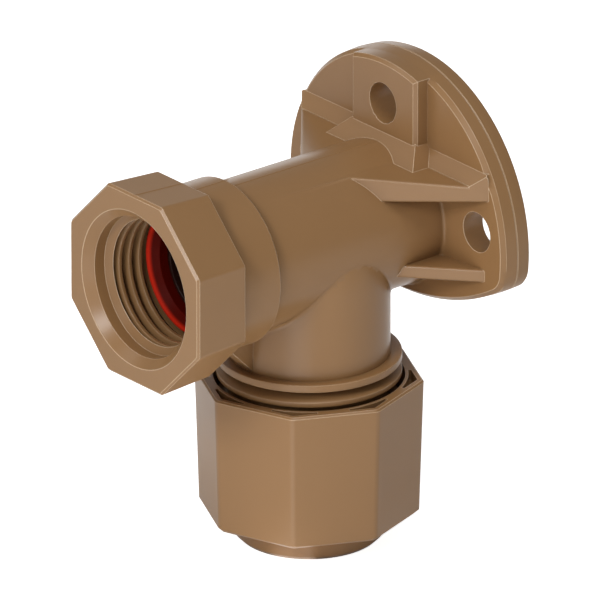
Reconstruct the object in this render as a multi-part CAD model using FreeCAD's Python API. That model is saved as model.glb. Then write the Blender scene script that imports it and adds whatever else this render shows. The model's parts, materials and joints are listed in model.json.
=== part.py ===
import FreeCAD, Part
import math
import os

# Wall plate elbow for a 16 mm pipe and a G 1/2 internal thread. All sizes in millimetres.
# The wall is the plane y = 0, the outlet axis is the line x = z = 0 and points to -y,
# and the pipe enters from below along z. The origin is where the outlet axis meets the wall.

# Layout
wall_to_outlet = 53.0
wall_to_pipe_axis = 20.85

# Outlet: plain thread bore, mouth in front of it, seal pocket and waterway behind it
outlet_thread_radius = 10.48
outlet_thread_length = 7.0
outlet_lead_in = 0.55
mouth_step = 1.32
mouth_depth = 2.6
seal_pocket_step = 0.38
seal_pocket_depth = 3.0
seal_ledge = 2.7

# Outlet: octagonal grip, round collar and tube
octagon_wall = 2.67
octagon_draft = 0.5
octagon_length = 9.0
octagon_edge = 0.8
octagon_front_edge = 0.35
collar_wall = 1.87
collar_length = 8.3
collar_edge = 0.5
tube_wall = 3.7
tube_foot_edge = 0.5

# Outlet seal
outlet_seal_height = 2.7
outlet_seal_width = 2.15
outlet_seal_crest_inset = 0.55
outlet_seal_slope = 1.2
seal_side_clearance = 0.05

# Wall plate: a disc that ends in a flatter arc below
plate_radius = 24.25
plate_centre_drop = 0.9
plate_thickness = 5.0
plate_bottom_drop = 12.6
plate_bottom_radius = 42.5
plate_corner_radius = 4.0
plate_front_edge = 0.7
plate_back_edge = 0.3
core_radius = 7.6
core_wall = 2.2
core_depth = 9.0
core_web = 2.0
back_rim_width = 2.2
back_recess_depth = 1.4

# Fixing holes and the pad of the top one
fixing_hole_radius = 3.0
side_hole_offset = 18.3
side_hole_height = 2.0
top_hole_height = 16.7
pad_half_width = 7.2
pad_height = 2.25
pad_rim_inset = 0.2
pad_edge = 0.5
pad_skirt_rise = 2.45

# Side ribs: the level of each rib's top under the outlet axis and how much it rises outwards,
# its thickness there and at its tip, its reach along the plate and its run along the tube
upper_rib_top = 9.7
upper_rib_rise = -0.1
upper_rib_root = 4.3
upper_rib_tip = 2.15
upper_rib_reach = 21.0
upper_rib_run = 12.9
lower_rib_top = -4.6
lower_rib_rise = 1.25
lower_rib_root = 1.9
lower_rib_tip = 1.9
lower_rib_reach = 20.1
lower_rib_run = 10.3
rib_edge = 0.35
rib_foot_height = 1.9
rib_foot_depth = 1.8

# Pipe socket, the seal at its end and the spigot around them
pipe_radius = 8.0
pipe_clearance = 0.2
socket_stop_drop = 13.0
socket_stop_step = 1.6
pipe_seal_section = 1.95
spigot_wall = 1.4
spigot_end_drop = 32.6
spigot_end_edge = 0.6
neck_shoulder_drop = 6.0
neck_shoulder_step = 1.05
web_thickness = 3.0
web_drop = 17.6

# Screw thread between spigot and nut, and what it does to the rings inside the nut
thread_pitch = 2.32
tighten_turns = 1.0
thread_depth = 1.85
tightened_gap = 0.43
moving_clearance = 0.25
ring_bore_clearance = 0.15

# Pressure ring
nose_insert = 2.4
nose_to_seal = 1.73
flange_overhang = 1.95
flange_thickness = 1.8

# Grip ring
grip_height = 5.2
grip_wall = 3.55
grip_cone_step = 1.9
grip_slot = 2.4
grip_tooth_count = 2
grip_tooth_depth = 0.5

# Compression nut
nut_height = 20.7
nut_wall = 1.9
nut_draft = 0.6
nut_turned_deg = 42.3
nut_edge = 1.4
nut_bottom_edge = 0.6
nut_top_edge = 0.3
nut_mouth_step = 0.25
nut_mouth_depth = 2.4
nut_pocket_step = 0.45
nut_pocket_wall = 0.95
nut_pocket_reach = 3.6
nut_pocket_depth = 1.5
nut_floor = 3.85
lip_wall = 2.55
lip_height = 3.9
lip_edge = 0.8
lip_root_edge = 0.6

# Directions, octagon and modelling constants
origin = FreeCAD.Vector(0, 0, 0)
along_x = FreeCAD.Vector(1, 0, 0)
along_y = FreeCAD.Vector(0, 1, 0)
along_z = FreeCAD.Vector(0, 0, 1)
full_turn = 360
octagon_sides = 8
octagon_step_deg = full_turn / octagon_sides
same_place = 1e-6

# Radii that follow from the pipe outwards
socket_radius = pipe_radius + pipe_clearance
socket_waterway_radius = socket_radius - socket_stop_step
ring_bore_radius = socket_radius + ring_bore_clearance
chamber_radius = socket_radius + pipe_seal_section + 2 * seal_side_clearance
neck_radius = chamber_radius + spigot_wall
nut_thread_radius = neck_radius + thread_depth
nut_mouth_radius = nut_thread_radius + nut_mouth_step
nut_pocket_radius = nut_mouth_radius + nut_pocket_step
nut_flats_top = 2 * (nut_thread_radius + nut_wall)
nut_flats_bottom = nut_flats_top - 2 * nut_draft
grip_top_radius = ring_bore_radius + grip_wall
grip_bottom_radius = grip_top_radius - grip_cone_step
lip_radius = ring_bore_radius + lip_wall

# Radii that follow from the outlet thread
mouth_radius = outlet_thread_radius + mouth_step
octagon_flats = 2 * (mouth_radius + octagon_wall)
collar_radius = outlet_thread_radius + collar_wall
seal_pocket_radius = outlet_thread_radius - seal_pocket_step
waterway_radius = seal_pocket_radius - seal_ledge
tube_radius = waterway_radius + tube_wall

# Places along the outlet axis
outlet_face_y = -wall_to_outlet
octagon_back_y = outlet_face_y + octagon_length
collar_end_y = octagon_back_y + collar_length
mouth_floor_y = outlet_face_y + mouth_depth
thread_end_y = mouth_floor_y + outlet_thread_length
seal_seat_y = thread_end_y + seal_pocket_depth
pipe_axis_y = -wall_to_pipe_axis
plate_front_y = -plate_thickness
plate_middle_y = plate_front_y / 2
pad_front_y = plate_front_y - pad_height

# Places along the pipe axis, from the spigot's end down through the rings to the nut's lip
spigot_end_z = -spigot_end_drop
ring_travel = thread_pitch * tighten_turns
nose_top_z = spigot_end_z + nose_insert
chamber_top_z = nose_top_z + ring_travel + nose_to_seal + pipe_seal_section
flange_top_z = spigot_end_z - ring_travel - tightened_gap
flange_bottom_z = flange_top_z - flange_thickness
grip_bottom_z = flange_bottom_z - grip_height
lip_bottom_z = grip_bottom_z - nut_floor
nut_bottom_z = lip_bottom_z + lip_height
nut_top_z = nut_bottom_z + nut_height


def closed_wire(points):
    return Part.makePolygon(points + points[:1])


def prism(points, sweep):
    return Part.Face(closed_wire(points)).extrude(sweep)


def turned_about_outlet(profile):
    """Revolve (radius, y) pairs about the outlet axis."""
    points = [FreeCAD.Vector(radius, y, 0) for radius, y in profile]
    return Part.Face(closed_wire(points)).revolve(origin, along_y, full_turn)


def turned_about_pipe(profile):
    """Revolve (radius, z) pairs about the pipe axis."""
    points = [FreeCAD.Vector(radius, pipe_axis_y, z) for radius, z in profile]
    return Part.Face(closed_wire(points)).revolve(FreeCAD.Vector(0, pipe_axis_y, 0), along_z, full_turn)


def round_along_y(radius, x, z, y_start, y_end):
    return Part.makeCylinder(radius, y_end - y_start, FreeCAD.Vector(x, y_start, z), along_y)


def octagon_points(flats, first_corner_deg):
    corner_radius = flats / 2 / math.cos(math.radians(octagon_step_deg / 2))
    points = []
    for corner in range(octagon_sides):
        angle = math.radians(first_corner_deg + octagon_step_deg * corner)
        points.append((corner_radius * math.cos(angle), corner_radius * math.sin(angle)))
    return points


def mirrored_pair(shape):
    """A shape fused with its mirror image across the plane x = 0."""
    return shape.fuse(shape.mirror(origin, along_x))


def outlet_octagon():
    """Octagonal grip, slightly narrower behind, with round corners, a bevelled front and a sharp back."""
    rings = []
    for flats, y in ((octagon_flats, outlet_face_y), (octagon_flats - 2 * octagon_draft, octagon_back_y)):
        corners = octagon_points(flats, octagon_step_deg / 2)
        rings.append(closed_wire([FreeCAD.Vector(x, y, z) for x, z in corners]))
    block = Part.makeLoft(rings, True, True)
    long_edges = [edge for edge in block.Edges if edge.BoundBox.YLength > octagon_length / 2]
    block = block.makeFillet(octagon_edge, long_edges)
    front_edges = [edge for edge in block.Edges if edge.BoundBox.YMax < outlet_face_y + same_place]
    return block.makeChamfer(octagon_front_edge, front_edges)


def outlet_tube():
    """Collar and tube in one turned shape, widening to a small foot on the plate."""
    foot_radius = tube_radius + tube_foot_edge
    collar_start_y = octagon_back_y - octagon_edge
    return turned_about_outlet([(0, collar_start_y), (collar_radius, collar_start_y),
                                (collar_radius, collar_end_y - collar_edge),
                                (collar_radius - collar_edge, collar_end_y), (tube_radius, collar_end_y),
                                (tube_radius, plate_front_y - tube_foot_edge), (foot_radius, plate_front_y),
                                (foot_radius, plate_middle_y), (0, plate_middle_y)])


def plate_disc(inset, y_start, y_end):
    return round_along_y(plate_radius - inset, 0, -plate_centre_drop, y_start, y_end)


def plate_blank(inset, y_start, y_end):
    """Disc cut by a flat arc below, with rounded lower corners, smaller by the inset all round."""
    arc_radius = plate_bottom_radius - inset
    bottom_centre = plate_bottom_radius - plate_bottom_drop
    lower_limit = round_along_y(arc_radius, 0, bottom_centre, y_start, y_end)
    blank = plate_disc(inset, y_start, y_end).common(lower_limit)
    corners = [edge for edge in blank.Edges if isinstance(edge.Curve, Part.Line)
               and abs(edge.CenterOfMass.x) > tube_radius and edge.CenterOfMass.z < 0]
    return blank.makeFillet(plate_corner_radius, corners)


def wall_plate():
    """Plate with a soft front rim and a nearly sharp back rim."""
    plate = plate_blank(0, plate_front_y, 0)
    front_rim = [edge for edge in plate.Edges if edge.BoundBox.YMax < plate_front_y + same_place]
    plate = plate.makeChamfer(plate_front_edge, front_rim)
    back_rim = [edge for edge in plate.Edges if edge.BoundBox.YMin > -same_place]
    return plate.makeChamfer(plate_back_edge, back_rim)


def back_hollows():
    """Shallow recess inside the plate's rim, and a round core behind the tube crossed by two webs."""
    boss = round_along_y(core_radius + core_wall, 0, 0, -back_recess_depth, 0)
    recess = plate_blank(back_rim_width, -back_recess_depth, 0).cut(boss)
    core = round_along_y(core_radius, 0, 0, -core_depth, 0)
    webs = []
    for width, height in ((core_web, 2 * core_radius), (2 * core_radius, core_web)):
        webs.append(Part.makeBox(width, core_depth, height,
                                 FreeCAD.Vector(-width / 2, -core_depth, -height / 2)))
    return [recess, core.cut(webs)]


def pad_skirt():
    """Foot of the pad that slopes out at 45 degrees to the front and to both sides, with mitred corners."""
    high_z = upper_rib_top + pad_skirt_rise + pad_edge
    drop = pad_edge + pad_skirt_rise + upper_rib_root / 2
    low_z = high_z - drop
    high_front_y = pad_front_y + pad_edge
    low_front_y = high_front_y - drop
    high_side = pad_half_width - pad_edge
    low_side = high_side + drop
    front_slope = prism([FreeCAD.Vector(-low_side, plate_middle_y, low_z),
                         FreeCAD.Vector(-low_side, low_front_y, low_z),
                         FreeCAD.Vector(-low_side, high_front_y, high_z),
                         FreeCAD.Vector(-low_side, plate_middle_y, high_z)],
                        FreeCAD.Vector(2 * low_side, 0, 0))
    side_slopes = prism([FreeCAD.Vector(-low_side, low_front_y, low_z),
                         FreeCAD.Vector(low_side, low_front_y, low_z),
                         FreeCAD.Vector(high_side, low_front_y, high_z),
                         FreeCAD.Vector(-high_side, low_front_y, high_z)],
                        FreeCAD.Vector(0, plate_middle_y - low_front_y, 0))
    return front_slope.common(side_slopes)


def top_pad():
    """Raised pad of the top fixing hole, standing on a skirt that slopes out to front and sides."""
    block = Part.makeBox(2 * pad_half_width, plate_middle_y - pad_front_y, plate_radius,
                         FreeCAD.Vector(-pad_half_width, pad_front_y, 0))
    pad = plate_disc(pad_rim_inset, pad_front_y, plate_middle_y).common(block)
    front_edges = [edge for edge in pad.Edges if edge.BoundBox.YMax < pad_front_y + same_place
                   and edge.CenterOfMass.z > tube_radius / 2]
    pad = pad.makeChamfer(pad_edge, front_edges)
    return pad.fuse(pad_skirt())


def side_rib(top, rise, root, tip, reach, run, foot_height, foot_depth):
    """A gusset between tube and plate on the +x side, with a slanting free edge.

    A foot height above zero adds a sloping foot along the plate on the rib's upper side.
    """
    front_y = plate_front_y - run
    inner_x = tube_radius / 2
    lowest = min(top, top + rise) - root - tip
    tallest = root + tip + abs(rise) + foot_height
    plan = prism([FreeCAD.Vector(0, plate_middle_y, lowest), FreeCAD.Vector(reach, plate_middle_y, lowest),
                  FreeCAD.Vector(reach, plate_front_y, lowest), FreeCAD.Vector(inner_x, front_y, lowest),
                  FreeCAD.Vector(0, front_y, lowest)],
                 FreeCAD.Vector(0, 0, 2 * tallest))
    side = prism([FreeCAD.Vector(0, front_y, top - root), FreeCAD.Vector(reach, front_y, top + rise - tip),
                  FreeCAD.Vector(reach, front_y, top + rise), FreeCAD.Vector(0, front_y, top)],
                 FreeCAD.Vector(0, plate_middle_y - front_y, 0))
    rib = plan.common(side)
    slanting = [edge for edge in rib.Edges if edge.BoundBox.YLength > run / 2
                and edge.BoundBox.XLength > inner_x]
    rib = rib.makeFillet(rib_edge, slanting)
    if foot_height > 0:
        foot_low = top + rise - tip / 2
        foot = prism([FreeCAD.Vector(0, plate_middle_y, foot_low),
                      FreeCAD.Vector(0, plate_middle_y, top + foot_height),
                      FreeCAD.Vector(0, plate_front_y, top + foot_height),
                      FreeCAD.Vector(0, plate_front_y - foot_depth, top),
                      FreeCAD.Vector(0, plate_front_y - foot_depth, foot_low)],
                     FreeCAD.Vector(reach, 0, 0))
        rib = rib.fuse(foot.common(plan))
    return rib.common(plate_disc(pad_rim_inset, front_y, plate_middle_y))


def neck_and_spigot():
    """Neck that draws in towards the tube along a tangent arc, and the round spigot below it."""
    shoulder_z = -neck_shoulder_drop
    arc_radius = (neck_shoulder_step ** 2 + neck_shoulder_drop ** 2) / (2 * neck_shoulder_step)
    half_angle = math.asin(neck_shoulder_drop / arc_radius) / 2
    arc_centre_radius = neck_radius - arc_radius

    def at(radius, z):
        return FreeCAD.Vector(radius, pipe_axis_y, z)

    shoulder = Part.Arc(at(neck_radius - neck_shoulder_step, 0),
                        at(arc_centre_radius + arc_radius * math.cos(half_angle),
                           shoulder_z + arc_radius * math.sin(half_angle)),
                        at(neck_radius, shoulder_z)).toShape()
    rest = Part.makePolygon([at(neck_radius, shoulder_z), at(neck_radius, spigot_end_z + spigot_end_edge),
                             at(neck_radius - spigot_end_edge, spigot_end_z), at(0, spigot_end_z),
                             at(0, 0), at(neck_radius - neck_shoulder_step, 0)])
    outline = Part.Wire([shoulder] + rest.Edges)
    return Part.Face(outline).revolve(at(0, 0), along_z, full_turn)


def front_web():
    """Upright web in front of the neck, cut at 45 degrees from the neck up to the collar."""
    neck_front_y = pipe_axis_y - neck_radius
    collar_meets_y = neck_front_y - web_drop + collar_radius
    inner_y = pipe_axis_y - socket_radius
    outline = [(inner_y, 0), (collar_meets_y, 0), (collar_meets_y, -collar_radius),
               (neck_front_y, -web_drop), (inner_y, -web_drop)]
    left_side = [FreeCAD.Vector(-web_thickness / 2, y, z) for y, z in outline]
    return prism(left_side, FreeCAD.Vector(web_thickness, 0, 0))


def outlet_passage():
    """Mouth, thread bore, seal pocket and waterway as one turned cutter."""
    waterway_end_y = pipe_axis_y + waterway_radius
    return turned_about_outlet([(0, outlet_face_y), (mouth_radius, outlet_face_y),
                                (mouth_radius, mouth_floor_y),
                                (outlet_thread_radius + outlet_lead_in, mouth_floor_y),
                                (outlet_thread_radius, mouth_floor_y + outlet_lead_in),
                                (outlet_thread_radius, thread_end_y), (seal_pocket_radius, thread_end_y),
                                (seal_pocket_radius, seal_seat_y), (waterway_radius, seal_seat_y),
                                (waterway_radius, waterway_end_y), (0, waterway_end_y)])


def pipe_passage():
    """Pipe socket with its stop, the seal chamber below it and the waterway above."""
    stop_z = -socket_stop_drop
    return turned_about_pipe([(0, 0), (socket_waterway_radius, 0), (socket_waterway_radius, stop_z),
                              (socket_radius, stop_z), (socket_radius, chamber_top_z),
                              (chamber_radius, chamber_top_z), (chamber_radius, spigot_end_z),
                              (0, spigot_end_z)])


def fixing_holes():
    places = [(0, top_hole_height), (-side_hole_offset, side_hole_height),
              (side_hole_offset, side_hole_height)]
    return [round_along_y(fixing_hole_radius, x, z, 2 * pad_front_y, 0) for x, z in places]


def elbow_body():
    upper_rib = side_rib(upper_rib_top, upper_rib_rise, upper_rib_root, upper_rib_tip,
                         upper_rib_reach, upper_rib_run, rib_foot_height, rib_foot_depth)
    lower_rib = side_rib(lower_rib_top, lower_rib_rise, lower_rib_root, lower_rib_tip,
                         lower_rib_reach, lower_rib_run, 0, 0)
    body = outlet_octagon().fuse([outlet_tube(), wall_plate(), top_pad(), mirrored_pair(upper_rib),
                                  mirrored_pair(lower_rib), neck_and_spigot(), front_web()])
    cutters = [outlet_passage(), pipe_passage()] + back_hollows() + fixing_holes()
    return body.cut(cutters).removeSplitter()


def outlet_seal():
    """Sealing ring on the shoulder behind the outlet thread, with a raised sealing crest."""
    front_y = seal_seat_y - outlet_seal_height
    outer = seal_pocket_radius - seal_side_clearance
    crest = outer - outlet_seal_crest_inset
    bore = outer - outlet_seal_width
    return turned_about_outlet([(bore, seal_seat_y), (outer, seal_seat_y),
                                (outer, front_y + outlet_seal_crest_inset), (crest, front_y),
                                (bore, front_y + outlet_seal_slope)])


def pipe_seal():
    """Sealing ring at the top of the seal chamber, with an eight-sided section."""
    ring_radius = chamber_radius - seal_side_clearance - pipe_seal_section / 2
    centre_z = chamber_top_z - pipe_seal_section / 2
    section = octagon_points(pipe_seal_section, octagon_step_deg / 2)
    return turned_about_pipe([(ring_radius + out, centre_z + up) for out, up in section])


def pressure_ring():
    """Ring whose nose slides into the seal chamber and whose flange takes the push of the nut."""
    nose_radius = chamber_radius - moving_clearance
    flange_radius = nose_radius + flange_overhang
    return turned_about_pipe([(ring_bore_radius, flange_bottom_z), (flange_radius, flange_bottom_z),
                              (flange_radius, flange_top_z), (nose_radius, flange_top_z),
                              (nose_radius, nose_top_z), (ring_bore_radius, nose_top_z)])


def grip_ring():
    """Split ring with a conical back and sharp teeth on its bore."""
    tooth_pitch = grip_height / grip_tooth_count
    profile = [(grip_bottom_radius, grip_bottom_z), (grip_top_radius, flange_bottom_z)]
    for tooth in range(grip_tooth_count):
        tooth_top_z = flange_bottom_z - tooth * tooth_pitch
        profile.append((ring_bore_radius, tooth_top_z))
        profile.append((ring_bore_radius + grip_tooth_depth, tooth_top_z - tooth_pitch))
    slot = Part.makeBox(grip_slot, grip_top_radius, grip_height,
                        FreeCAD.Vector(-grip_slot / 2, pipe_axis_y, grip_bottom_z))
    return turned_about_pipe(profile).cut(slot)


def nut_outside():
    """Octagon that narrows downwards, with round corners, bevelled rims and a round lip below it."""
    levels = []
    for flats, z in ((nut_flats_top, nut_top_z), (nut_flats_bottom, nut_bottom_z)):
        corners = octagon_points(flats, nut_turned_deg)
        levels.append(closed_wire([FreeCAD.Vector(x, pipe_axis_y + y, z) for x, y in corners]))
    block = Part.makeLoft(levels, True, True)
    upright_edges = [edge for edge in block.Edges if edge.BoundBox.ZLength > nut_height / 2]
    block = block.makeFillet(nut_edge, upright_edges)
    bottom_edges = [edge for edge in block.Edges if edge.BoundBox.ZMax < nut_bottom_z + same_place]
    block = block.makeChamfer(nut_bottom_edge, bottom_edges)
    top_edges = [edge for edge in block.Edges if edge.BoundBox.ZMin > nut_top_z - same_place]
    block = block.makeChamfer(nut_top_edge, top_edges)
    lip_root_radius = lip_radius + lip_root_edge
    lip_root_z = nut_bottom_z + nut_bottom_edge
    lip = turned_about_pipe([(0, lip_bottom_z), (lip_radius - lip_edge, lip_bottom_z),
                             (lip_radius, lip_bottom_z + lip_edge),
                             (lip_radius, nut_bottom_z - lip_root_edge), (lip_root_radius, nut_bottom_z),
                             (lip_root_radius, lip_root_z), (0, lip_root_z)])
    return block.fuse(lip)


def nut_pockets():
    """Shallow pockets in the nut's top face, one at each corner outside the collar of its mouth."""
    floor_z = nut_top_z - nut_pocket_depth
    corners = octagon_points(nut_flats_top - 2 * nut_pocket_wall, nut_turned_deg)
    collar = Part.makeCylinder(nut_pocket_radius, nut_pocket_depth, FreeCAD.Vector(0, pipe_axis_y, floor_z))
    pockets = []
    for place, (x, y) in enumerate(corners):
        outline = [FreeCAD.Vector(0, pipe_axis_y, floor_z)]
        corner = FreeCAD.Vector(x, pipe_axis_y + y, floor_z)
        for next_x, next_y in (corners[place - 1], corners[(place + 1) % octagon_sides]):
            towards = FreeCAD.Vector(next_x - x, next_y - y, 0).normalize()
            outline.append(corner + towards * nut_pocket_reach)
        outline.insert(2, corner)
        pockets.append(prism(outline, FreeCAD.Vector(0, 0, nut_pocket_depth)).cut(collar))
    return pockets


def compression_nut():
    """Octagonal nut with a thread bore, a cone seat for the grip ring and a hole for the pipe."""
    seat_z = flange_bottom_z - moving_clearance
    seat_top_radius = grip_top_radius + moving_clearance
    seat_bottom_radius = grip_bottom_radius + moving_clearance
    lead_end_z = nut_top_z - nut_mouth_depth - nut_mouth_step
    passage = turned_about_pipe([(0, nut_top_z), (nut_mouth_radius, nut_top_z),
                                 (nut_mouth_radius, nut_top_z - nut_mouth_depth),
                                 (nut_thread_radius, lead_end_z), (nut_thread_radius, seat_z),
                                 (seat_top_radius, seat_z), (seat_bottom_radius, grip_bottom_z),
                                 (ring_bore_radius, grip_bottom_z), (ring_bore_radius, lip_bottom_z),
                                 (0, lip_bottom_z)])
    return nut_outside().cut([passage] + nut_pockets())


nodes = {
    "elbow_body": elbow_body(),
    "compression_nut": compression_nut(),
    "grip_ring": grip_ring(),
    "pressure_ring": pressure_ring(),
    "pipe_seal": pipe_seal(),
    "outlet_seal": outlet_seal(),
}

os.makedirs("parts", exist_ok=True)
for name, shape in nodes.items():
    shape.exportStep(os.path.join("parts", name + ".step"))
    print(name, "valid", shape.isValid(), "solids", len(shape.Solids), "volume", round(shape.Volume, 1))
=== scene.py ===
import bmesh
import bpy
import json
import math
from mathutils import Matrix, Vector


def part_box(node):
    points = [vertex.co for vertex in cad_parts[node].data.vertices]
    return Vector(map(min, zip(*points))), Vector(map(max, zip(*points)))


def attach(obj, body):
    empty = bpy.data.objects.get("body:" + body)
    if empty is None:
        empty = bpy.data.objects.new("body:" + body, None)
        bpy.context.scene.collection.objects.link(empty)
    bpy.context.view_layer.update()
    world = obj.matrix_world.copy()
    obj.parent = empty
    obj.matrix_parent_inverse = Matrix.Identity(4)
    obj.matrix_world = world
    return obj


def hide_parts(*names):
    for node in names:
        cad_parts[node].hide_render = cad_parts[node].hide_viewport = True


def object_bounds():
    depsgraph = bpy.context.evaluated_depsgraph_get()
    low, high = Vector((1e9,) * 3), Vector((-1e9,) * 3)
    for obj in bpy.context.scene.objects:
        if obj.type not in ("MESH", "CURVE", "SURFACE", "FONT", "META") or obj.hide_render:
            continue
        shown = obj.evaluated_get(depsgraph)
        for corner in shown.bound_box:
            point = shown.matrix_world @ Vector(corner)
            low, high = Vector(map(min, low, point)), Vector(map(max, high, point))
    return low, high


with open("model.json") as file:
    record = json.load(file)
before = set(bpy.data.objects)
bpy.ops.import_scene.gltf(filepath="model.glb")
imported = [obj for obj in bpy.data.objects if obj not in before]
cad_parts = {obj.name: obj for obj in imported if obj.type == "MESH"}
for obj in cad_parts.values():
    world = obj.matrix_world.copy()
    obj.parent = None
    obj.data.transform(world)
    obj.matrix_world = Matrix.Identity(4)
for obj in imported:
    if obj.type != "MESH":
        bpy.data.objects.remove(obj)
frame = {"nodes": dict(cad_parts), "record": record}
cad_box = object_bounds()

# Sizes are in metres; lengths written in millimetres carry this factor
mm = 0.001

# Where the fitting's axes and edges lie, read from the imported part
outlet_face_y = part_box("elbow_body")[0].y
nut_low, nut_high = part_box("compression_nut")
mounts = {mount["name"]: mount for mount in frame["record"]["mounts"]}
outlet_bore_radius = mounts["outlet_thread"]["dims"]["r_mm"] * mm
pipe_axis_y = mounts["pipe_socket"]["pos_m"][1]

# The photograph's view: its angles, and where a point inside the tube lies in it, with the scale there
photo_size = 600
photo_azimuth = math.radians(50.85)
photo_elevation = math.radians(22.98)
photo_aim = Vector((0, -35 * mm, -5 * mm))
photo_aim_pixel = (232.2, 290.7)
photo_pixels_per_metre = 7028
camera_distance = 3.5
camera_sensor = 36

# Outlet thread: G 1/2, right-hand, with its ridge reaching in from the bore
outlet_thread_pitch = 1.814 * mm
outlet_ridge_height = 1.16 * mm
outlet_ridge_root = 1.5 * mm
outlet_ridge_crest = 0.55 * mm
outlet_ridge_round = 0.12 * mm
outlet_crest_depth = 5.16 * mm
outlet_crest_side = math.pi
outlet_thread_start_depth = 3.7 * mm
outlet_thread_end_depth = 9.6 * mm

# Mouth of the outlet and its ledge, and how far the ring that lines them is sunk into them
mouth_radius = 11.8 * mm
mouth_depth = 2.6 * mm
ledge_radius = 11.03 * mm
bore_start_depth = 3.15 * mm
mouth_sink = 0.05 * mm

# Way in to the outlet thread, turned as one ring: a countersink, a plain stretch and the thread's lead-in
countersink_depth = 1.32 * mm
lead_in_start_depth = 3.1 * mm
lead_in_end_depth = 3.88 * mm
lead_in_radius = 9.4 * mm
lead_in_back_depth = 4.35 * mm
ring_places = 128

# Waterway behind the seal, which lies in the dark, given a painted shade colour
waterway_radius = 9.2 * mm
waterway_front_y = -43.6 * mm
waterway_end_y = -13.0 * mm
waterway_painted_shade = (0.02, 0.006, 0.004)

# Outlet seal: where its crest lies, how far the crest's colour reaches, and the share of it left beyond
# under painted shade
seal_crest_radius = 9.25 * mm
seal_crest_width = 0.55 * mm
seal_shadow = 0.14

# Parting line of the mould: a thin ridge along the top of octagon, collar and tube
octagon_top = 14.47 * mm
octagon_taper = 0.5 * mm
octagon_length = 9.0 * mm
octagon_front_edge = 0.35 * mm
collar_radius = 12.35 * mm
collar_length = 8.3 * mm
skirt_front_y = -8.3 * mm
flash_half_width = 0.11 * mm
flash_height = 0.05 * mm

# Plate's rim: tapered a little to both sides of its middle, with a fine groove along it
plate_centre_z = -0.9 * mm
plate_thickness = 5.0 * mm
plate_front_edge = 0.7 * mm
plate_back_edge = 0.3 * mm
rim_taper = 0.14 * mm
rim_groove_half_width = 0.11 * mm
rim_groove_depth = 0.07 * mm

# Rim faces: how far out they lie, how little they lean to front or back, how much they look outwards
rim_distance = 11.0 * mm
rim_lean = 0.05
rim_facing = 0.5

# Side holes in the plate, whose walls are no rim faces
side_hole_x = 18.3 * mm
side_hole_z = 2.0 * mm
side_hole_reach = 3.3 * mm

# Tube and neck
tube_radius = 11.1 * mm
neck_radius = 11.65 * mm
neck_shoulder_drop = 6.0 * mm
neck_shoulder_step = 1.05 * mm

# Blend where tube and neck meet, its inner corner sunk by so many of its radii
blend_radius = 1.0 * mm
blend_lift = 0.015 * mm
blend_sink = 1.3
blend_places = 64
blend_steps = 8
blend_search_step = math.radians(0.1)

# Spigot: two plain rings above the nut, and the screw thread that the nut runs on
ring_radius = 13.4 * mm
upper_ring_top_z = -17.9 * mm
upper_ring_height = 1.1 * mm
lower_ring_root_z = -19.6 * mm
lower_ring_top_z = -20.55 * mm
lower_ring_height = 0.75 * mm
ring_flank = 0.1 * mm
ring_round = 0.12 * mm
nut_thread_pitch = 2.32 * mm
nut_thread_radius = 13.5 * mm
nut_ridge_height = 1.5 * mm
nut_ridge_root = 1.35 * mm
nut_ridge_crest = 0.5 * mm
spigot_thread_top_z = -23.4 * mm
spigot_thread_turns = 3.05
nut_thread_top_z = -24.6 * mm
nut_thread_turns = 4.0

# Ridges: points in a turn, steps in a rounded corner, and the share of the height to lift the middle by
thread_places = 72
ridge_round_steps = 3
ridge_lift_share = 0.45

# Run-outs: the share of a thread's length at each end, and the share of its size that is left there
outlet_run_out = 0.08
nut_run_out = 0.06
run_out_size = 0.05

# Skins over the solids: which points are one, and which edges are shaded sharp
merge_distance = 0.002 * mm
patch_angle = math.radians(20)
sharp_angle = math.radians(33)
strip_angle = math.radians(52)
strip_width = 1.15 * mm
nut_top_edge = 1.2 * mm

# Moulded finish: clouds of colour and gloss, and a fine grain
cloud_size = 14 * mm
cloud_depth = 0.06
cloud_detail = 3.0
cloud_distortion = 0.4
gloss_change = 0.08
grain_size = 0.25 * mm
grain_detail = 2.0
grain_height = 0.004 * mm

# Edges: softened, and lightened with a painted highlight where the soft normal leaves the true one and the
# place is open
soft_edge_radius = 0.15 * mm
soft_edge_samples = 6
edge_agreement = (0.996, 0.94)
edge_openness = (0.55, 0.8)
edge_highlight_colour = (0.85, 0.64, 0.44)
edge_highlight_share = 1.0

# Crevices: how far round a place they are looked for, and how much darker painted shade makes them
crevice_reach = 2.5 * mm
crevice_samples = 16
crevice_shade_share = 0.35

# Colour and roughness of each material
plastic_brown = (0.324, 0.175, 0.072)
plastic_roughness = 0.27
grip_white = (0.72, 0.70, 0.64)
grip_roughness = 0.4
ring_black = (0.02, 0.02, 0.02)
ring_roughness = 0.35
rubber_black = (0.015, 0.015, 0.015)
rubber_roughness = 0.5
seal_red = (0.65, 0.022, 0.006)
seal_roughness = 0.35
seal_shine = 0.05

# Studio: a white room
white = (1.0, 1.0, 1.0, 1.0)
room_brightness = 0.2

# Soft boxes: direction, distance, width, height and radiance of each
soft_boxes = (
    ("front_softbox", (0.25, -0.78, 0.58), 0.8, 0.2, 0.2, 16.0),
    ("key_softbox", (0.5, -0.8, 0.3), 0.9, 0.5, 0.5, 0.7),
    ("top_softbox", (0.3, -0.15, 0.94), 0.8, 0.4, 0.4, 3.5),
    ("upper_left_softbox", (-0.5, -0.47, 0.72), 0.8, 0.3, 0.3, 1.5),
    ("back_softbox", (-0.74, 0.62, 0.1), 0.9, 0.5, 0.2, 1.2),
)

# Floor: half its width, its finish, its glow on the fitting and its brightness to the camera
floor_half = 3.0
floor_grey = (0.93, 0.93, 0.93, 1.0)
floor_roughness = 0.8
floor_glow = 0.12
floor_whiteness = 0.9

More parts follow.
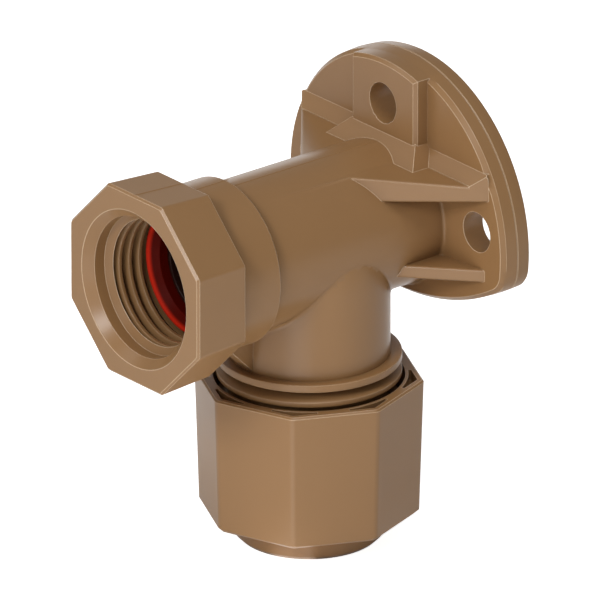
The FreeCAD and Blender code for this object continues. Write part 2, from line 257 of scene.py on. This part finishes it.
# Shines on the floor: azimuth, the two slopes between which each fades, and strength
shine_start = 1 * mm
floor_shines = (
    (math.radians(-54.7), 0.1, 0.4, 0.9),
    (math.radians(141), 0.5, 1.2, 0.5),
)

scene = bpy.context.scene
collection = scene.collection


def add_node(tree, kind, inputs=None, **settings):
    """A new node with its settings; an input given as a socket is linked, any other is a value."""
    node = tree.nodes.new(kind)
    for name, value in settings.items():
        setattr(node, name, value)
    for name, value in (inputs or {}).items():
        if isinstance(value, bpy.types.NodeSocket):
            tree.links.new(value, node.inputs[name])
        else:
            node.inputs[name].default_value = value
    return node


def number(tree, operation, *terms, **settings):
    """What a math node makes of these terms, each a socket or a plain number."""
    node = add_node(tree, "ShaderNodeMath", dict(enumerate(terms)), operation=operation, **settings)
    return node.outputs[0]


def vector(tree, operation, *terms, output="Vector"):
    """What a vector math node makes of these terms, each a socket or a plain vector."""
    node = add_node(tree, "ShaderNodeVectorMath", dict(enumerate(terms)), operation=operation)
    return node.outputs[output]


def ranged(tree, value, start, end, first=0.0, last=1.0, kind="LINEAR"):
    """A value carried over from the span start to end to the span first to last, and held at both ends."""
    spans = {"Value": value, "From Min": start, "From Max": end, "To Min": first, "To Max": last}
    return add_node(tree, "ShaderNodeMapRange", spans, interpolation_type=kind).outputs[0]


def own_place(tree):
    """The place on a piece, in the frame's own coordinates."""
    return add_node(tree, "ShaderNodeTexCoord").outputs["Object"]


def outlet_radius(tree, place):
    """How far a place lies from the outlet's axis, which is the y axis."""
    return vector(tree, "LENGTH", vector(tree, "MULTIPLY", place, (1, 0, 1)), output="Value")


def new_tree(name, kind, inputs, outputs):
    """A node group with sockets of these names and types, and what goes in and out of it."""
    tree = bpy.data.node_groups.new(name, kind)
    for direction, sockets in (("INPUT", inputs), ("OUTPUT", outputs)):
        for socket_name, socket_type in sockets.items():
            tree.interface.new_socket(socket_name, in_out=direction, socket_type="NodeSocket" + socket_type)
    return tree, tree.nodes.new("NodeGroupInput").outputs, tree.nodes.new("NodeGroupOutput").inputs


def moulded_skin_group():
    """Colour clouds, gloss changes and fine grain of a moulded surface."""
    tree, given, result = new_tree(
        "moulded_skin", "ShaderNodeTree",
        {"Colour": "Color", "Cloud Size": "Float", "Cloud Depth": "Float", "Gloss Roughness": "Float",
         "Gloss Change": "Float", "Grain Size": "Float"},
        {"Colour": "Color", "Roughness": "Float", "Grain": "Float"})
    place = own_place(tree)
    clouds = add_node(tree, "ShaderNodeTexNoise",
                      {"Vector": place, "Scale": number(tree, "DIVIDE", 1.0, given["Cloud Size"]),
                       "Detail": cloud_detail, "Distortion": cloud_distortion}).outputs["Fac"]
    brightness = number(tree, "MULTIPLY_ADD", clouds, given["Cloud Depth"], 1.0)
    tint = add_node(tree, "ShaderNodeHueSaturation", {"Color": given["Colour"], "Value": brightness})
    roughness = number(tree, "MULTIPLY_ADD", clouds, given["Gloss Change"], given["Gloss Roughness"])
    grain = add_node(tree, "ShaderNodeTexNoise",
                     {"Vector": place, "Scale": number(tree, "DIVIDE", 1.0, given["Grain Size"]),
                      "Detail": grain_detail})
    tree.links.new(tint.outputs["Color"], result["Colour"])
    tree.links.new(roughness, result["Roughness"])
    tree.links.new(grain.outputs["Fac"], result["Grain"])
    return tree


def build_painted_light_group():
    """Open edges softened and lightened with a painted highlight, and painted shade deep in corners and
    grooves.
    """
    tree, given, result = new_tree(
        "painted_edge_highlight_and_crevice_shade", "ShaderNodeTree",
        {"Colour": "Color", "Highlight Colour": "Color", "Edge Radius": "Float", "Highlight Share": "Float",
         "Crevice Reach": "Float", "Shade Share": "Float"},
        {"Colour": "Color", "Normal": "Vector"})
    soft = add_node(tree, "ShaderNodeBevel", {"Radius": given["Edge Radius"]}, samples=soft_edge_samples)
    facing = add_node(tree, "ShaderNodeNewGeometry").outputs["Normal"]
    agreement = vector(tree, "DOT_PRODUCT", soft.outputs[0], facing, output="Value")
    openness = add_node(tree, "ShaderNodeAmbientOcclusion", {"Distance": given["Crevice Reach"]},
                        samples=crevice_samples).outputs["AO"]
    # Painted highlight: a light colour mixed in on open edges
    highlight_mask = number(tree, "MULTIPLY", ranged(tree, agreement, *edge_agreement),
                       ranged(tree, openness, *edge_openness))
    highlighted = add_node(tree, "ShaderNodeMixRGB",
                      {"Fac": number(tree, "MULTIPLY", highlight_mask, given["Highlight Share"]),
                       "Color1": given["Colour"], "Color2": given["Highlight Colour"]})
    # Painted shade: colour darkened where the place is closed in
    closed = number(tree, "SUBTRACT", 1.0, openness)
    shade_loss = number(tree, "MULTIPLY", closed, given["Shade Share"], use_clamp=True)
    shaded = add_node(tree, "ShaderNodeHueSaturation",
                      {"Color": highlighted.outputs[0], "Value": number(tree, "SUBTRACT", 1.0, shade_loss)})
    tree.links.new(shaded.outputs[0], result["Colour"])
    tree.links.new(soft.outputs[0], result["Normal"])
    return tree


def waterway_shade_group():
    """A dark colour painted as shade inside the waterway about the outlet's axis, the given colour
    elsewhere.
    """
    tree, given, result = new_tree(
        "waterway_shade", "ShaderNodeTree",
        {"Colour": "Color", "Dark Colour": "Color", "Radius": "Float", "Front Y": "Float",
         "End Y": "Float"},
        {"Colour": "Color"})
    place = own_place(tree)
    along = add_node(tree, "ShaderNodeSeparateXYZ", {0: place}).outputs["Y"]
    inside = number(tree, "LESS_THAN", outlet_radius(tree, place), given["Radius"])
    behind = number(tree, "GREATER_THAN", along, given["Front Y"])
    before = number(tree, "LESS_THAN", along, given["End Y"])
    mask = number(tree, "MULTIPLY", inside, number(tree, "MULTIPLY", behind, before))
    shaded = add_node(tree, "ShaderNodeMixRGB",
                      {"Fac": mask, "Color1": given["Colour"], "Color2": given["Dark Colour"]})
    tree.links.new(shaded.outputs[0], result["Colour"])
    return tree


def seal_shade_group():
    """A colour that is full on the seal's crest and darkens away from it as painted shade."""
    tree, given, result = new_tree(
        "seal_painted_shade", "ShaderNodeTree",
        {"Colour": "Color", "Crest Radius": "Float", "Crest Width": "Float"}, {"Colour": "Color"})
    offset = number(tree, "SUBTRACT", outlet_radius(tree, own_place(tree)), given["Crest Radius"])
    distance = number(tree, "ABSOLUTE", offset)
    # Painted shade: the seal darkens away from its crest
    fade = ranged(tree, distance, 0.0, given["Crest Width"], 1.0, seal_shadow, kind="SMOOTHSTEP")
    tint = add_node(tree, "ShaderNodeHueSaturation", {"Color": given["Colour"], "Value": fade})
    tree.links.new(tint.outputs["Color"], result["Colour"])
    return tree


def moulded_material(name, colour, roughness, edge_radius=soft_edge_radius, highlight_share=0.0):
    """Moulded plastic or rubber: the shared skin, edges softened by the tool's radius, a painted edge
    highlight by the given share and painted crevice shade, and a fine grain.
    """
    material = bpy.data.materials.new(name)
    material.use_nodes = True
    tree = material.node_tree
    shader = tree.nodes["Principled BSDF"]
    skin = add_node(tree, "ShaderNodeGroup", {
        "Colour": (*colour, 1.0), "Cloud Size": cloud_size, "Cloud Depth": cloud_depth,
        "Gloss Roughness": roughness, "Gloss Change": gloss_change, "Grain Size": grain_size},
        node_tree=skin_group)
    # Painted highlight on open edges and painted shade in crevices
    painted_light = add_node(tree, "ShaderNodeGroup", {
        "Colour": skin.outputs["Colour"], "Highlight Colour": (*edge_highlight_colour, 1.0), "Edge Radius": edge_radius,
        "Highlight Share": highlight_share, "Crevice Reach": crevice_reach, "Shade Share": crevice_shade_share},
        node_tree=painted_light_group)
    bump = add_node(tree, "ShaderNodeBump",
                    {"Height": skin.outputs["Grain"], "Distance": grain_height, "Strength": 1.0})
    if edge_radius > 0:
        tree.links.new(painted_light.outputs["Normal"], bump.inputs["Normal"])
    tree.links.new(painted_light.outputs["Colour"], shader.inputs["Base Color"])
    tree.links.new(skin.outputs["Roughness"], shader.inputs["Roughness"])
    tree.links.new(bump.outputs["Normal"], shader.inputs["Normal"])
    return material


def recolour(material, group, inputs):
    """Pass a material's colour through a node group with these inputs."""
    tree = material.node_tree
    base_colour = tree.nodes["Principled BSDF"].inputs["Base Color"]
    change = add_node(tree, "ShaderNodeGroup", {"Colour": base_colour.links[0].from_socket, **inputs},
                      node_tree=group)
    tree.links.new(change.outputs["Colour"], base_colour)


def elbow_material():
    """The elbow's brown plastic, with painted shade inside the waterway."""
    material = moulded_material("elbow_plastic", plastic_brown, plastic_roughness, highlight_share=edge_highlight_share)
    recolour(material, waterway_shade_group(), {
        "Dark Colour": (*waterway_painted_shade, 1.0), "Radius": waterway_radius, "Front Y": waterway_front_y,
        "End Y": waterway_end_y})
    return material


def seal_material():
    """Red rubber that shows its colour on the sealing crest and is painted darker towards the waterway as
    shade.
    """
    material = moulded_material("red_rubber", seal_red, seal_roughness)
    recolour(material, seal_shade_group(), {
        "Crest Radius": seal_crest_radius, "Crest Width": seal_crest_width})
    material.node_tree.nodes["Principled BSDF"].inputs["Specular IOR Level"].default_value = seal_shine
    return material


def seated(piece, body):
    """Let a finished piece ride on its body."""
    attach(piece, body)


def patch_widths(shell):
    """For every face the mean width of the patch of faces that it meets at small angles."""
    widths = {}
    for first in shell.faces:
        if first in widths:
            continue
        patch, waiting = {first}, [first]
        area = border = 0.0
        while waiting:
            face = waiting.pop()
            area += face.calc_area()
            for edge in face.edges:
                if edge.calc_face_angle(math.pi) > patch_angle:
                    border += edge.calc_length()
                    continue
                fresh = [other for other in edge.link_faces if other not in patch]
                patch.update(fresh)
                waiting.extend(fresh)
        width = 2 * area / border if border else math.inf
        widths.update((face, width) for face in patch)
    return widths


def taper_rim(shell):
    """Draw the rim's front and back edges in, cut a fine groove along its middle and return its edges."""
    middle_y = (plate_back_edge + plate_thickness - plate_front_edge) / -2

    def outward(point):
        return Vector((point.x, 0, point.z - plate_centre_z))

    def on_rim(face):
        centre = face.calc_center_median()
        out = outward(centre)
        beside_hole = math.hypot(abs(centre.x) - side_hole_x, centre.z - side_hole_z) < side_hole_reach
        across_plate = abs(face.normal.y) < rim_lean and -plate_thickness < centre.y < 0
        looks_out = out.length > rim_distance and face.normal.dot(out.normalized()) > rim_facing
        return across_plate and looks_out and not beside_hole

    rim = [face for face in shell.faces if on_rim(face)]
    edges = {edge for face in rim for edge in face.edges}
    verts = {vert for face in rim for vert in face.verts}
    drawn_in = {vert for vert in verts if abs(vert.co.y - middle_y) > plate_thickness / 4}
    cut = bmesh.ops.bisect_plane(shell, geom=rim + list(edges) + list(verts), dist=merge_distance,
                                 plane_co=(0, middle_y, 0), plane_no=(0, 1, 0))
    for vert in drawn_in:
        vert.co -= outward(vert.co).normalized() * rim_taper
    middle = [item for item in cut["geom_cut"] if isinstance(item, bmesh.types.BMEdge)]
    groove = bmesh.ops.bevel(shell, geom=middle, offset=rim_groove_half_width, offset_type="OFFSET",
                             segments=2, profile=0.5, affect="EDGES")
    for vert in groove["verts"]:
        if abs(vert.co.y - middle_y) < rim_groove_half_width / 4:
            vert.co -= outward(vert.co).normalized() * rim_groove_depth
    return {edge for face in groove["faces"] for edge in face.edges}


def smooth_copy(node_name, piece_name, material, crisp_above=math.inf):
    """The node's own surface as one closed skin in place of it, with its narrow bevels shaded as rounds.

    Above the given height bevels that stand out keep both border lines, and only inner corners are rounds.
    """
    mesh = frame["nodes"][node_name].data.copy()
    mesh.name = piece_name
    if "custom_normal" in mesh.attributes:
        mesh.attributes.remove(mesh.attributes["custom_normal"])
    shell = bmesh.new()
    shell.from_mesh(mesh)
    bmesh.ops.remove_doubles(shell, verts=shell.verts, dist=merge_distance)
    creases = taper_rim(shell) if node_name == "elbow_body" else []
    widths = patch_widths(shell)
    for face in shell.faces:
        face.smooth = True
    for edge in shell.edges:
        turn = edge.calc_face_angle(0.0)
        on_strip = min(widths[face] for face in edge.link_faces) < strip_width
        if edge.is_convex and min(vert.co.z for vert in edge.verts) > crisp_above:
            on_strip = False
        edge.smooth = turn < (strip_angle if on_strip else sharp_angle)
    for edge in creases:
        edge.smooth = False
    shell.to_mesh(mesh)
    shell.free()
    mesh.materials.clear()
    mesh.materials.append(material)
    piece = bpy.data.objects.new(piece_name, mesh)
    collection.objects.link(piece)
    even_faces = piece.modifiers.new("even_faces", "WEIGHTED_NORMAL")
    even_faces.keep_sharp = True
    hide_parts(node_name)
    return piece


def kept_piece(name, shell, material):
    """Keep a given shell as an object with its normals outwards and its corners sharp."""
    bmesh.ops.recalc_face_normals(shell, faces=shell.faces)
    for edge in shell.edges:
        edge.smooth = edge.calc_face_angle(0.0) < sharp_angle
    mesh = bpy.data.meshes.new(name)
    shell.to_mesh(mesh)
    shell.free()
    mesh.materials.append(material)
    piece = bpy.data.objects.new(name, mesh)
    collection.objects.link(piece)
    return piece


def turned_ring(name, section, material):
    """A ring about the outlet's axis, its section given by the radius and y of each corner."""
    ring = bmesh.new()
    rows = []
    for place in range(ring_places):
        angle = 2 * math.pi * place / ring_places
        rows.append([ring.verts.new((radius * math.cos(angle), y, radius * math.sin(angle)))
                     for radius, y in section])
    for row, next_row in zip(rows, rows[1:] + rows[:1]):
        for spot in range(len(section)):
            after = (spot + 1) % len(section)
            ring.faces.new((row[spot], row[after], next_row[after], next_row[spot])).smooth = True
    return kept_piece(name, ring, material)


def flash_line(name, stretches, material):
    """Thin gabled ridges in the plane x = 0, each given by the y and z of its two ends."""
    verts, faces = [], []
    for (start_y, start_z), (end_y, end_z) in stretches:
        first = len(verts)
        for y, z in ((start_y, start_z), (end_y, end_z)):
            verts += [(-flash_half_width, y, z - flash_height), (0, y, z + flash_height),
                      (flash_half_width, y, z - flash_height)]
        faces += [[first + spot for spot in face]
                  for face in ((0, 1, 2), (5, 4, 3), (0, 3, 4, 1), (1, 4, 5, 2), (2, 5, 3, 0))]
    mesh = bpy.data.meshes.new(name)
    mesh.from_pydata(verts, [], faces)
    mesh.materials.append(material)
    piece = bpy.data.objects.new(name, mesh)
    collection.objects.link(piece)
    return piece


def neck_radius_at(z):
    """The neck's radius, which draws in along an arc above its shoulder."""
    arc = (neck_shoulder_step ** 2 + neck_shoulder_drop ** 2) / (2 * neck_shoulder_step)
    above = max(z + neck_shoulder_drop, 0.0)
    return neck_radius - arc + math.sqrt(arc ** 2 - above ** 2)


def blend_section(angle, side):
    """Section of the blend at an angle about the tube: its arc from tube to neck and a point inside."""
    reach = tube_radius + blend_radius
    x, z = reach * math.sin(angle), -reach * math.cos(angle)
    neck_reach = neck_radius_at(z) + blend_radius
    y = side * math.sqrt(max(neck_reach ** 2 - x ** 2, 0.0))
    centre = Vector((x, pipe_axis_y + y, z))
    to_tube = Vector((-x, 0, -z)).normalized()
    to_neck = Vector((-x, -y, 0)).normalized()
    arc = [centre + to_tube.slerp(to_neck, step / blend_steps) * (blend_radius - blend_lift)
           for step in range(blend_steps + 1)]
    return arc + [centre + (to_tube + to_neck) * blend_radius * blend_sink]


def neck_blend(name, side, material):
    """Soft concave blend in the crease between tube and neck, on its front or its back side."""
    end_angle = 0.0
    reach = tube_radius + blend_radius
    while neck_radius_at(-reach * math.cos(end_angle)) + blend_radius > reach * math.sin(end_angle):
        end_angle += blend_search_step
    strip = bmesh.new()
    rows = []
    for place in range(blend_places + 1):
        angle = end_angle * (2 * place / blend_places - 1)
        rows.append([strip.verts.new(point) for point in blend_section(angle, side)])
    count = len(rows[0])
    for row, next_row in zip(rows, rows[1:]):
        for spot in range(count):
            after = (spot + 1) % count
            face = strip.faces.new((row[spot], row[after], next_row[after], next_row[spot]))
            face.smooth = spot < blend_steps
    strip.faces.new(rows[0])
    strip.faces.new(rows[-1])
    return kept_piece(name, strip, material)


def ridge_profile(tree, given):
    """A trapezoid ridge with rounded corners, its root sunk a little below the surface it stands on."""
    sizes = {name: given[name] for name in ("Height", "Bottom Width", "Top Width", "Offset")}
    outline = add_node(tree, "GeometryNodeCurvePrimitiveQuadrilateral", sizes, mode="TRAPEZOID")
    rounded = add_node(tree, "GeometryNodeFilletCurve",
                       {"Curve": outline.outputs[0], "Count": ridge_round_steps, "Radius": given["Round"],
                        "Limit Radius": True}, mode="POLY")
    lift = add_node(tree, "ShaderNodeCombineXYZ",
                    {"Y": number(tree, "MULTIPLY", given["Height"], ridge_lift_share)})
    lifted = add_node(tree, "GeometryNodeTransform",
                      {"Geometry": rounded.outputs[0], "Translation": lift.outputs[0]})
    return add_node(tree, "GeometryNodeTransform",
                    {"Geometry": lifted.outputs[0], "Rotation": given["Facing"]}).outputs[0]


def finished_surface(tree, mesh_socket, given, result):
    """Shade a swept ridge smooth and give it its plastic."""
    smooth = add_node(tree, "GeometryNodeSetShadeSmooth", {"Geometry": mesh_socket, "Shade Smooth": True})
    real = add_node(tree, "GeometryNodeRealizeInstances", {"Geometry": smooth.outputs[0]})
    coloured = add_node(tree, "GeometryNodeSetMaterial",
                        {"Geometry": real.outputs[0], "Material": given["Plastic"]})
    tree.links.new(coloured.outputs[0], result["Geometry"])


def thread_tree():
    """A screw ridge that climbs about the z axis and runs out into its wall at both ends."""
    tree, given, result = new_tree(
        "screw_ridge", "GeometryNodeTree",
        {"Geometry": "Geometry", "Turns": "Float", "Pitch": "Float", "Radius": "Float", "Height": "Float",
         "Bottom Width": "Float", "Top Width": "Float", "Offset": "Float", "Round": "Float",
         "Run Out": "Float", "Facing": "Vector", "Plastic": "Material"},
        {"Geometry": "Geometry"})
    climb = number(tree, "MULTIPLY", given["Turns"], given["Pitch"])
    spiral = add_node(tree, "GeometryNodeCurveSpiral",
                      {"Resolution": thread_places, "Rotations": given["Turns"],
                       "Start Radius": given["Radius"], "End Radius": given["Radius"],
                       "Height": climb, "Reverse": True})
    upright = add_node(tree, "GeometryNodeSetCurveNormal", {"Curve": spiral.outputs[0]}, mode="Z_UP")
    along = add_node(tree, "GeometryNodeSplineParameter").outputs["Factor"]
    middle = 0.5
    distance = number(tree, "ABSOLUTE", number(tree, "SUBTRACT", along, middle))
    run_out_start = number(tree, "SUBTRACT", middle, given["Run Out"])
    fade = ranged(tree, distance, run_out_start, middle, 1.0, run_out_size, kind="SMOOTHSTEP")
    sized = add_node(tree, "GeometryNodeSetCurveRadius", {"Curve": upright.outputs[0], "Radius": fade})
    swept = add_node(tree, "GeometryNodeCurveToMesh",
                     {"Curve": sized.outputs[0], "Profile Curve": ridge_profile(tree, given),
                      "Scale": fade, "Fill Caps": True})
    finished_surface(tree, swept.outputs[0], given, result)
    return tree


def ring_tree():
    """A plain ridge that goes once round the z axis."""
    tree, given, result = new_tree(
        "round_ridge", "GeometryNodeTree",
        {"Geometry": "Geometry", "Radius": "Float", "Height": "Float", "Bottom Width": "Float",
         "Top Width": "Float", "Offset": "Float", "Round": "Float", "Facing": "Vector",
         "Plastic": "Material"},
        {"Geometry": "Geometry"})
    circle = add_node(tree, "GeometryNodeCurvePrimitiveCircle",
                      {"Resolution": ring_places, "Radius": given["Radius"]})
    upright = add_node(tree, "GeometryNodeSetCurveNormal", {"Curve": circle.outputs[0]}, mode="Z_UP")
    swept = add_node(tree, "GeometryNodeCurveToMesh",
                     {"Curve": upright.outputs[0], "Profile Curve": ridge_profile(tree, given)})
    finished_surface(tree, swept.outputs[0], given, result)
    return tree


def grown_piece(name, tree, sizes, place):
    """Run a geometry tree with these sizes and keep its result as a plain mesh at its place."""
    piece = bpy.data.objects.new(name, bpy.data.meshes.new(name))
    collection.objects.link(piece)
    growth = piece.modifiers.new(name, "NODES")
    growth.node_group = tree
    for item in tree.interface.items_tree:
        if item.in_out == "INPUT" and item.name in sizes:
            growth[item.identifier] = sizes[item.name]
    grown = piece.evaluated_get(bpy.context.evaluated_depsgraph_get())
    mesh = bpy.data.meshes.new_from_object(grown)
    piece.modifiers.remove(growth)
    mesh.transform(place)
    mesh.name = name
    piece.data = mesh
    return piece


def place_camera():
    """The photograph's camera, far off, with the aim point at its pixel and its scale."""
    right = Vector((math.cos(photo_azimuth), math.sin(photo_azimuth), 0))
    back = Vector((math.sin(photo_azimuth) * math.cos(photo_elevation),
                   -math.cos(photo_azimuth) * math.cos(photo_elevation), math.sin(photo_elevation)))
    up = back.cross(right)
    across = (photo_size / 2 - photo_aim_pixel[0]) / photo_pixels_per_metre
    down = (photo_size / 2 - photo_aim_pixel[1]) / photo_pixels_per_metre
    data = bpy.data.cameras.new("photo_camera")
    data.lens = photo_pixels_per_metre * camera_distance / photo_size * camera_sensor
    data.sensor_width = camera_sensor
    camera = bpy.data.objects.new("photo_camera", data)
    camera.location = photo_aim + back * camera_distance
    looking = photo_aim + right * across - up * down - camera.location
    camera.rotation_euler = looking.to_track_quat("-Z", "Y").to_euler()
    collection.objects.link(camera)
    scene.camera = camera


def softbox(name, direction, distance, width, height, radiance):
    """A rectangular studio light that looks at the middle of the fitting."""
    data = bpy.data.lights.new(name, "AREA")
    data.shape = "RECTANGLE"
    data.size = width
    data.size_y = height
    data.energy = radiance * math.pi * width * height
    light = bpy.data.objects.new(name, data)
    towards = Vector(direction).normalized()
    light.location = (cad_box[0] + cad_box[1]) / 2 + towards * distance
    light.rotation_euler = towards.to_track_quat("Z", "Y").to_euler()
    collection.objects.link(light)


def floor_light(tree):
    """How bright the floor is: an even glow, and broad shines that run out from under the nut."""
    from_nut = vector(tree, "SUBTRACT", own_place(tree), (0, pipe_axis_y, 0))
    glow = floor_glow
    for azimuth, inner, outer, strength in floor_shines:
        out_x, out_y = math.cos(azimuth), math.sin(azimuth)
        along = vector(tree, "DOT_PRODUCT", from_nut, (out_x, out_y, 0), output="Value")
        across = vector(tree, "DOT_PRODUCT", from_nut, (-out_y, out_x, 0), output="Value")
        ahead = number(tree, "MAXIMUM", along, shine_start)
        slope = number(tree, "DIVIDE", number(tree, "ABSOLUTE", across), ahead)
        shine = ranged(tree, slope, inner, outer, strength, 0.0, kind="SMOOTHSTEP")
        glow = number(tree, "ADD", shine, glow)
    return glow


def floor_material():
    """Pale floor that is white to the camera and lights the fitting by its own glow and shines."""
    material = bpy.data.materials.new("pale_floor")
    material.use_nodes = True
    tree = material.node_tree
    shader = tree.nodes["Principled BSDF"]
    shader.inputs["Base Color"].default_value = floor_grey
    shader.inputs["Roughness"].default_value = floor_roughness
    shader.inputs["Emission Color"].default_value = white
    seen = add_node(tree, "ShaderNodeLightPath").outputs["Is Camera Ray"]
    glow = ranged(tree, seen, 0.0, 1.0, floor_light(tree), floor_whiteness)
    tree.links.new(glow, shader.inputs["Emission Strength"])
    return material


def studio():
    """White room, pale floor under the nut's lip and soft boxes round the fitting."""
    world = bpy.data.worlds.new("studio")
    scene.world = world
    world.use_nodes = True
    background = world.node_tree.nodes["Background"]
    background.inputs["Color"].default_value = white
    background.inputs["Strength"].default_value = room_brightness
    for settings in soft_boxes:
        softbox(*settings)
    mesh = bpy.data.meshes.new("floor")
    corners = ((-1, -1), (1, -1), (1, 1), (-1, 1))
    mesh.from_pydata([(x * floor_half, y * floor_half, nut_low.z) for x, y in corners], [], [(0, 1, 2, 3)])
    mesh.materials.append(floor_material())
    floor = bpy.data.objects.new("floor", mesh)
    collection.objects.link(floor)
    scene.view_settings.view_transform = "Standard"


# Materials, on two shared node groups
skin_group = moulded_skin_group()
painted_light_group = build_painted_light_group()
elbow_plastic = elbow_material()
# The nut's plastic also takes the painted edge highlight
nut_plastic = moulded_material("nut_plastic", plastic_brown, plastic_roughness, highlight_share=edge_highlight_share)
grip_plastic = moulded_material("grip_plastic", grip_white, grip_roughness)
ring_plastic = moulded_material("ring_plastic", ring_black, ring_roughness)
black_rubber = moulded_material("black_rubber", rubber_black, rubber_roughness)
red_rubber = seal_material()
blend_plastic = moulded_material("blend_plastic", plastic_brown, plastic_roughness, edge_radius=0)

# Skins in place of the six solids
elbow_shell = smooth_copy("elbow_body", "elbow_shell", elbow_plastic, crisp_above=-math.inf)
seated(elbow_shell, "elbow")
nut_shell = smooth_copy("compression_nut", "nut_shell", nut_plastic, crisp_above=nut_high.z - nut_top_edge)
seated(nut_shell, "nut")
seated(smooth_copy("grip_ring", "grip_ring_skin", grip_plastic), "clamp_rings")
seated(smooth_copy("pressure_ring", "pressure_ring_skin", ring_plastic), "clamp_rings")
seated(smooth_copy("pipe_seal", "pipe_seal_skin", black_rubber), "elbow")
seated(smooth_copy("outlet_seal", "outlet_seal_skin", red_rubber), "elbow")

# Blends between tube and neck
for blend_name, side in (("front_neck_blend", -1), ("back_neck_blend", 1)):
    seated(neck_blend(blend_name, side, blend_plastic), "elbow")

# Parting line along the top
collar_start_y = outlet_face_y + octagon_length
collar_end_y = collar_start_y + collar_length
parting_line = flash_line("parting_line", (
    ((outlet_face_y + octagon_front_edge, octagon_top), (collar_start_y, octagon_top - octagon_taper)),
    ((collar_start_y, collar_radius), (collar_end_y, collar_radius)),
    ((collar_end_y, tube_radius), (skirt_front_y, tube_radius))), blend_plastic)
seated(parting_line, "elbow")

# Way in to the outlet thread, given by the radius and depth of each corner of its section
sunk_bore_radius = outlet_bore_radius + mouth_sink
sunk_mouth_radius = mouth_radius + mouth_sink
sunk_mouth_depth = mouth_depth + mouth_sink
mouth_section = (
    (mouth_radius, 0), (outlet_bore_radius, countersink_depth), (outlet_bore_radius, lead_in_start_depth),
    (lead_in_radius, lead_in_end_depth), (outlet_bore_radius, lead_in_back_depth),
    (sunk_bore_radius, lead_in_back_depth), (sunk_bore_radius, bore_start_depth),
    (ledge_radius + mouth_sink, sunk_mouth_depth), (sunk_mouth_radius, sunk_mouth_depth),
    (sunk_mouth_radius, mouth_sink))
mouth_ring = turned_ring("mouth_ring", [(radius, outlet_face_y + depth) for radius, depth in mouth_section],
                         elbow_plastic)
seated(mouth_ring, "elbow")

# Screw ridges and round ridges, which look in to their axis or out from it
screw_ridge = thread_tree()
round_ridge = ring_tree()
inwards = (0, 0, math.pi / 2)
outwards = (0, 0, -math.pi / 2)

# Outlet thread, turned so that a crest passes the outlet's side at the depth seen there
thread_start_y = outlet_face_y + outlet_thread_start_depth
crest_y = outlet_face_y + outlet_crest_depth
outlet_turns = (outlet_thread_end_depth - outlet_thread_start_depth) / outlet_thread_pitch
start_angle = outlet_crest_side - (crest_y - thread_start_y) / outlet_thread_pitch * 2 * math.pi
into_outlet = (Matrix.Translation((0, thread_start_y, 0)) @ Matrix.Rotation(-math.pi / 2, 4, "X")
               @ Matrix.Rotation(start_angle, 4, "Z"))
outlet_thread = grown_piece("outlet_thread", screw_ridge, {
    "Turns": outlet_turns, "Pitch": outlet_thread_pitch, "Radius": outlet_bore_radius,
    "Height": outlet_ridge_height, "Bottom Width": outlet_ridge_root, "Top Width": outlet_ridge_crest,
    "Round": outlet_ridge_round, "Run Out": outlet_run_out, "Facing": inwards, "Plastic": elbow_plastic},
    into_outlet)
seated(outlet_thread, "elbow")

# Spigot thread, and the nut's thread half a pitch from it, so that each runs in the other's groove
nut_ridge = {"Pitch": nut_thread_pitch, "Height": nut_ridge_height, "Bottom Width": nut_ridge_root,
             "Top Width": nut_ridge_crest, "Round": ring_round, "Run Out": nut_run_out}
spigot_thread_low_z = spigot_thread_top_z - spigot_thread_turns * nut_thread_pitch
spigot_thread = grown_piece("spigot_thread", screw_ridge, {
    **nut_ridge, "Turns": spigot_thread_turns, "Radius": neck_radius, "Facing": outwards,
    "Plastic": elbow_plastic},
    Matrix.Translation((0, pipe_axis_y, spigot_thread_low_z)))
seated(spigot_thread, "elbow")
nut_thread_low_z = nut_thread_top_z - nut_thread_turns * nut_thread_pitch
half_pitch_turn = math.pi - (spigot_thread_low_z - nut_thread_low_z) / nut_thread_pitch * 2 * math.pi
nut_thread = grown_piece("nut_thread", screw_ridge, {
    **nut_ridge, "Turns": nut_thread_turns, "Radius": nut_thread_radius, "Facing": inwards,
    "Plastic": nut_plastic},
    Matrix.Translation((0, pipe_axis_y, nut_thread_low_z)) @ Matrix.Rotation(half_pitch_turn, 4, "Z"))
seated(nut_thread, "nut")

# Plain rings on the spigot, the upper one sloped on its lower side and the lower one on its upper side
upper_ring_root = upper_ring_height + ring_flank
lower_ring_root = lower_ring_root_z - lower_ring_top_z + lower_ring_height
for ring_name, top_z, height, root, lean in (
        ("upper_spigot_ring", upper_ring_top_z, upper_ring_height, upper_ring_root, 1),
        ("lower_spigot_ring", lower_ring_root_z, lower_ring_height, lower_ring_root, -1)):
    spigot_ring = grown_piece(ring_name, round_ridge, {
        "Radius": neck_radius, "Height": ring_radius - neck_radius, "Bottom Width": root,
        "Top Width": height, "Offset": lean * (root - height) / 2, "Round": ring_round,
        "Facing": outwards, "Plastic": elbow_plastic},
        Matrix.Translation((0, pipe_axis_y, top_z - root / 2)))
    seated(spigot_ring, "elbow")

place_camera()
studio()
